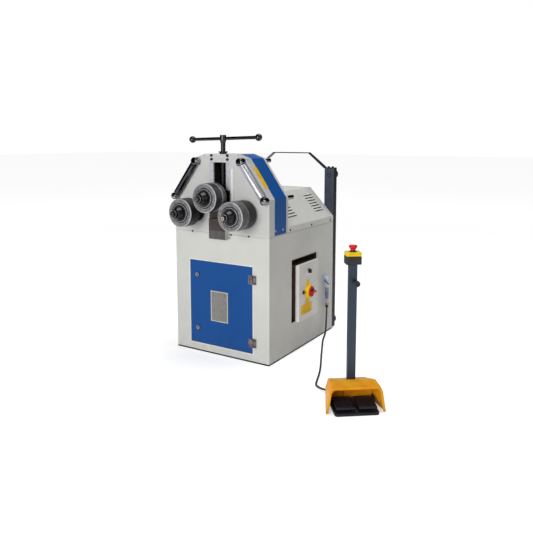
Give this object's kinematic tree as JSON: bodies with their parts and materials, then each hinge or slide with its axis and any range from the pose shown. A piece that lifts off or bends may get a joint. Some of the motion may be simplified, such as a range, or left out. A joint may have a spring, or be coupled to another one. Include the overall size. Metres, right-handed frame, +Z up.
{
  "type": "ring roller",
  "caption": "Electric three-roll section bender on a steel cabinet, with a screw-fed top roll, geared lower rolls, side guides, a switch enclosure and a corded foot pedal station.",
  "frame": {"origin": "on the floor, at the centre of the cabinet's footprint", "axes": "+Z up; the door and the rolls face -Y; +X is the side with the switch enclosure and the pedal cord"},
  "size_m": [1.376, 1.2061, 1.25],
  "materials": {
    "grey_paint": "satin powder coat",
    "hood_paint": "satin powder coat",
    "blue_paint": "satin powder coat",
    "slate_paint": "satin powder coat",
    "orange_plastic": "moulded",
    "black_steel": "blackened steel",
    "black_plastic": "moulded",
    "roll_steel": "turned",
    "bright_steel": "ground",
    "chrome": "polished",
    "zinc_sheet": "dull zinc",
    "cast_paint": "painted casting",
    "red_plastic": "moulded",
    "yellow_plastic": "moulded",
    "connector_grey": "moulded",
    "cord_rubber": "matt"
  },
  "bodies": {
    "machine": {"cabinet_wrap": "grey_paint", "top_deck": "grey_paint", "front_plate": "grey_paint", "rear_plate": "grey_paint", "enclosure_box": "grey_paint", "rear_hood": "hood_paint", "side_band": "blue_paint", "rear_post_left": "slate_paint", "rear_post_right": "slate_paint", "rear_arch": "slate_paint", "station_post": "slate_paint", "pedal_guard": "orange_plastic", "base_plate": "black_steel", "slot_cover": "black_steel", "front_bearing_left": "black_steel", "front_bearing_right": "black_steel", "spindle_nut": "black_steel", "guide_stud_upper_left": "black_steel", "guide_stud_upper_right": "black_steel", "guide_stud_lower_left": "black_steel", "guide_stud_lower_right": "black_steel", "pedal_base": "black_plastic", "slide_gib_left": "bright_steel", "slide_gib_right": "bright_steel", "hinge_leaf_upper": "chrome", "hinge_leaf_lower": "chrome", "reduction_gearbox": "cast_paint", "drive_motor": "cast_paint", "estop_box": "yellow_plastic", "pedal_socket": "connector_grey", "cord_plug": "connector_grey", "pedal_cord": "cord_rubber"},
    "door": {"door_panel": "blue_paint", "vent_grille": "zinc_sheet", "door_hinge_upper": "chrome", "door_hinge_lower": "chrome"},
    "door_lock_upper": {"door_lock_upper": "black_steel"},
    "door_lock_lower": {"door_lock_lower": "black_steel"},
    "slide": {"roller_slide": "black_steel"},
    "feed_spindle": {"spindle": "black_steel", "t_handle": "black_plastic"},
    "top_roll": {"top_shaft": "bright_steel", "top_roller": "roll_steel", "top_lock_nut": "black_steel"},
    "left_roll": {"left_gear_shaft": "bright_steel", "left_roller": "roll_steel", "left_lock_nut": "black_steel"},
    "right_roll": {"right_gear_shaft": "bright_steel", "right_roller": "roll_steel", "right_lock_nut": "black_steel"},
    "pinion": {"drive_pinion": "bright_steel"},
    "guide_left": {"guide_sleeve_left": "chrome"},
    "guide_right": {"guide_sleeve_right": "chrome"},
    "enclosure_lid": {"enclosure_lid": "grey_paint"},
    "lid_latch": {"lid_latch": "black_plastic"},
    "main_switch": {"main_switch": "red_plastic"},
    "selector": {"selector_knob": "black_plastic"},
    "pedal_left": {"pedal_left": "black_plastic"},
    "pedal_right": {"pedal_right": "black_plastic"},
    "estop_button": {"estop_button": "red_plastic"}
  },
  "joints": [
    {"name": "door_hinge", "type": "hinge", "parent": "machine", "child": "door", "pos_m": [0.213, -0.3968, 0.29], "axis": [0, 0, 1], "range_deg": [0, 110]},
    {"name": "door_lock_upper_turn", "type": "hinge", "parent": "door", "child": "door_lock_upper", "pos_m": [-0.163, -0.39, 0.455], "axis": [0, 1, 0], "range_deg": [0, 90]},
    {"name": "door_lock_lower_turn", "type": "hinge", "parent": "door", "child": "door_lock_lower", "pos_m": [-0.163, -0.39, 0.141], "axis": [0, 1, 0], "range_deg": [0, 90]},
    {"name": "top_slide", "type": "slide", "parent": "machine", "child": "slide", "axis": [0, 0, 1], "range_m": [-0.035, 0.09]},
    {"name": "feed_turn", "type": "hinge", "parent": "slide", "child": "feed_spindle", "pos_m": [0, -0.356, 1.1], "axis": [0, 0, 1], "range_deg": [-2070, 5370]},
    {"name": "top_roll_spin", "type": "hinge", "parent": "slide", "child": "top_roll", "pos_m": [0, -0.46, 0.914], "axis": [0, 1, 0], "continuous": true},
    {"name": "left_roll_spin", "type": "hinge", "parent": "machine", "child": "left_roll", "pos_m": [-0.168, -0.46, 0.824], "axis": [0, 1, 0], "continuous": true},
    {"name": "right_roll_spin", "type": "hinge", "parent": "machine", "child": "right_roll", "pos_m": [0.168, -0.46, 0.824], "axis": [0, 1, 0], "continuous": true},
    {"name": "pinion_spin", "type": "hinge", "parent": "machine", "child": "pinion", "pos_m": [0, -0.27, 0.798], "axis": [0, 1, 0], "continuous": true},
    {"name": "guide_left_spin", "type": "hinge", "parent": "machine", "child": "guide_left", "pos_m": [-0.302, -0.411, 0.903], "axis": [-0.5962, 0, -0.8029], "continuous": true},
    {"name": "guide_right_spin", "type": "hinge", "parent": "machine", "child": "guide_right", "pos_m": [0.302, -0.411, 0.903], "axis": [0.5962, 0, -0.8029], "continuous": true},
    {"name": "lid_hinge", "type": "hinge", "parent": "machine", "child": "enclosure_lid", "pos_m": [0.328, 0.1353, 0.3445], "axis": [0, 0, 1], "range_deg": [0, 120]},
    {"name": "lid_latch_turn", "type": "hinge", "parent": "enclosure_lid", "child": "lid_latch", "pos_m": [0.34, -0.058, 0.343], "axis": [1, 0, 0], "range_deg": [-90, 0]},
    {"name": "main_switch_turn", "type": "hinge", "parent": "enclosure_lid", "child": "main_switch", "pos_m": [0.365, 0.001, 0.339], "axis": [1, 0, 0], "range_deg": [0, 90]},
    {"name": "selector_turn", "type": "hinge", "parent": "enclosure_lid", "child": "selector", "pos_m": [0.355, 0.008, 0.46], "axis": [1, 0, 0], "range_deg": [-45, 45]},
    {"name": "pedal_left_press", "type": "hinge", "parent": "machine", "child": "pedal_left", "pos_m": [0.84611, -0.61867, 0.033], "axis": [0.7934, 0.6088, 0], "range_deg": [0, 7], "stiffness_Nm_per_rad": 4, "springref_deg": -14.32},
    {"name": "pedal_right_press", "type": "hinge", "parent": "machine", "child": "pedal_right", "pos_m": [0.93179, -0.55292, 0.033], "axis": [0.7934, 0.6088, 0], "range_deg": [0, 7], "stiffness_Nm_per_rad": 4, "springref_deg": -14.32},
    {"name": "estop_press", "type": "slide", "parent": "machine", "child": "estop_button", "axis": [0, 0, -1], "range_m": [0, 0.005]}
  ],
  "couplings": [
    {"joint": "top_slide", "follows": "feed_turn", "m_per_rad": 0.00095493},
    {"joint": "right_roll_spin", "follows": "left_roll_spin", "ratio": 1},
    {"joint": "pinion_spin", "follows": "left_roll_spin", "ratio": -1.6154}
  ]
}
